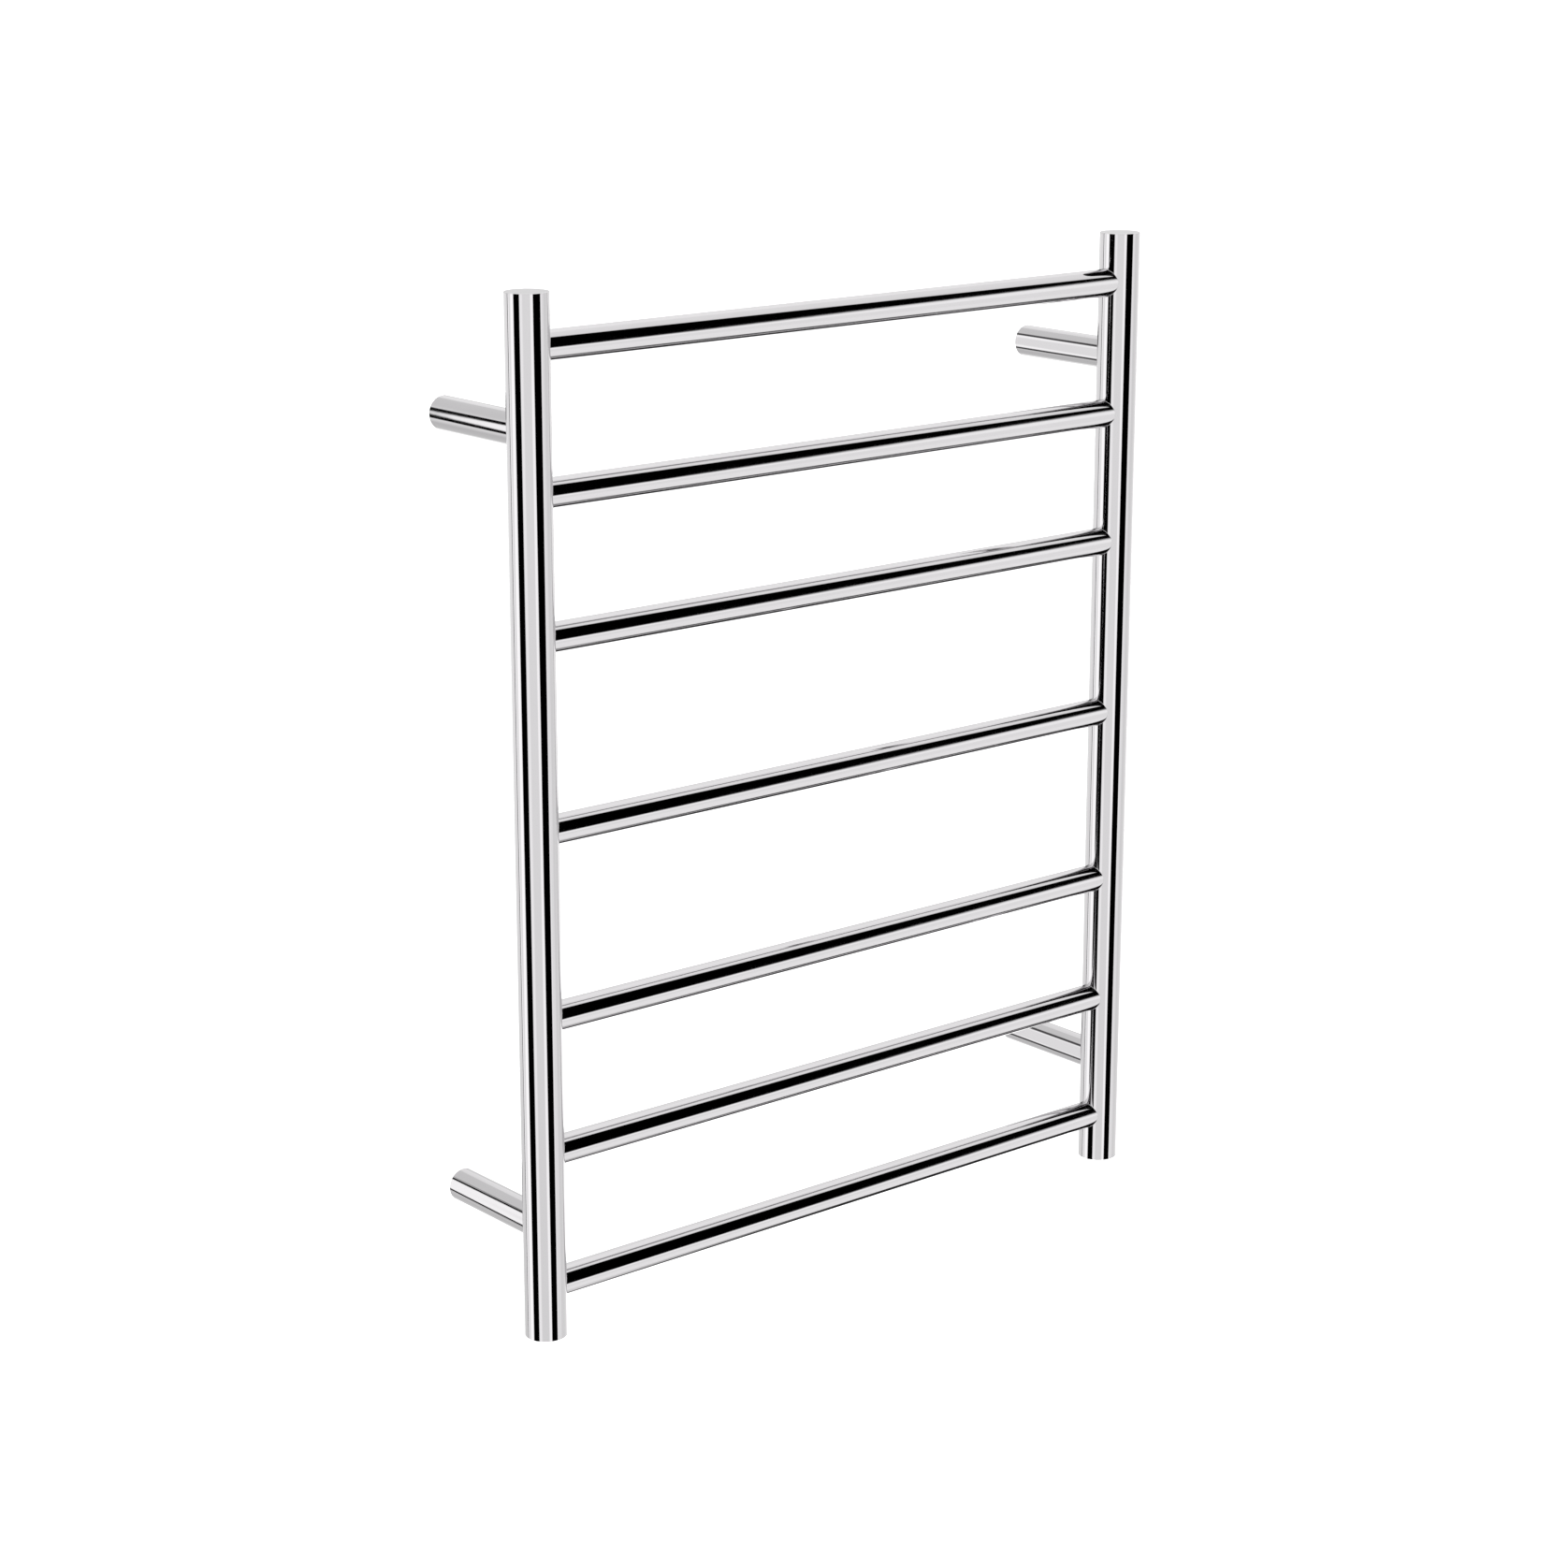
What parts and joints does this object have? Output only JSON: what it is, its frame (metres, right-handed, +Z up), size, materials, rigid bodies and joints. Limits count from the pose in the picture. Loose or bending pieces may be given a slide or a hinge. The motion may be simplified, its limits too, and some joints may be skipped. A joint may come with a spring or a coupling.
{
  "type": "towel warmer rack",
  "caption": "Wall-hung electric ladder towel warmer: round polished crossbars in groups above and below a middle bar, between tube uprights on straight standoffs.",
  "frame": {"origin": "on the wall plane, at the centre of the rectangle that the four wall brackets make", "axes": "+Z up along the uprights, +Y into the wall, +X to the right as seen from the room"},
  "size_m": [0.611, 0.121, 0.78],
  "materials": {
    "polished_steel": "mirror-polished stainless tube",
    "machined_steel": "turned stainless, fine lathe marks",
    "screw_steel": "plain A2 stainless fastener",
    "tinned_copper": "tinned copper, satin",
    "black_rubber": "matt moulded rubber",
    "red_silicone": "satin silicone jacket",
    "black_sleeve": "heat-shrunk sleeve",
    "white_sheath": "satin cable sheath",
    "earth_green": "green and yellow wire insulation"
  },
  "bodies": {
    "wall_mounts": {"wall_bracket_upper_left": "machined_steel", "wall_bracket_upper_right": "machined_steel", "wall_bracket_lower_right": "machined_steel", "cable_entry_bracket": "machined_steel", "cable_grommet": "black_rubber"},
    "rail": {"left_upright": "polished_steel", "right_upright": "polished_steel", "crossbar_1": "polished_steel", "crossbar_2": "polished_steel", "crossbar_3": "polished_steel", "crossbar_4": "polished_steel", "crossbar_5": "polished_steel", "crossbar_6": "polished_steel", "crossbar_7": "polished_steel", "standoff_upper_left": "polished_steel", "standoff_upper_right": "polished_steel", "standoff_lower_left": "polished_steel", "standoff_lower_right": "polished_steel", "top_cap_left": "polished_steel", "top_cap_right": "polished_steel", "bottom_cap_left": "polished_steel", "bottom_cap_right": "polished_steel", "heating_cable": "red_silicone", "cable_end_seal": "black_sleeve", "cable_splice": "black_sleeve", "cold_lead": "white_sheath", "earth_wire": "earth_green", "earth_lug": "tinned_copper", "earth_screw": "screw_steel"},
    "set_screw_upper_left": {"grub_screw_upper_left": "screw_steel"},
    "set_screw_upper_right": {"grub_screw_upper_right": "screw_steel"},
    "set_screw_lower_left": {"grub_screw_lower_left": "screw_steel"},
    "set_screw_lower_right": {"grub_screw_lower_right": "screw_steel"}
  },
  "joints": [
    {"name": "rail_off_wall", "type": "slide", "parent": "wall_mounts", "child": "rail", "axis": [0, -1, 0], "range_m": [0, 0.03]},
    {"name": "unscrew_upper_left", "type": "slide", "parent": "rail", "child": "set_screw_upper_left", "axis": [0, 0, -1], "range_m": [0, 0.004]},
    {"name": "unscrew_upper_right", "type": "slide", "parent": "rail", "child": "set_screw_upper_right", "axis": [0, 0, -1], "range_m": [0, 0.004]},
    {"name": "unscrew_lower_left", "type": "slide", "parent": "rail", "child": "set_screw_lower_left", "axis": [0, 0, -1], "range_m": [0, 0.004]},
    {"name": "unscrew_lower_right", "type": "slide", "parent": "rail", "child": "set_screw_lower_right", "axis": [0, 0, -1], "range_m": [0, 0.004]}
  ]
}
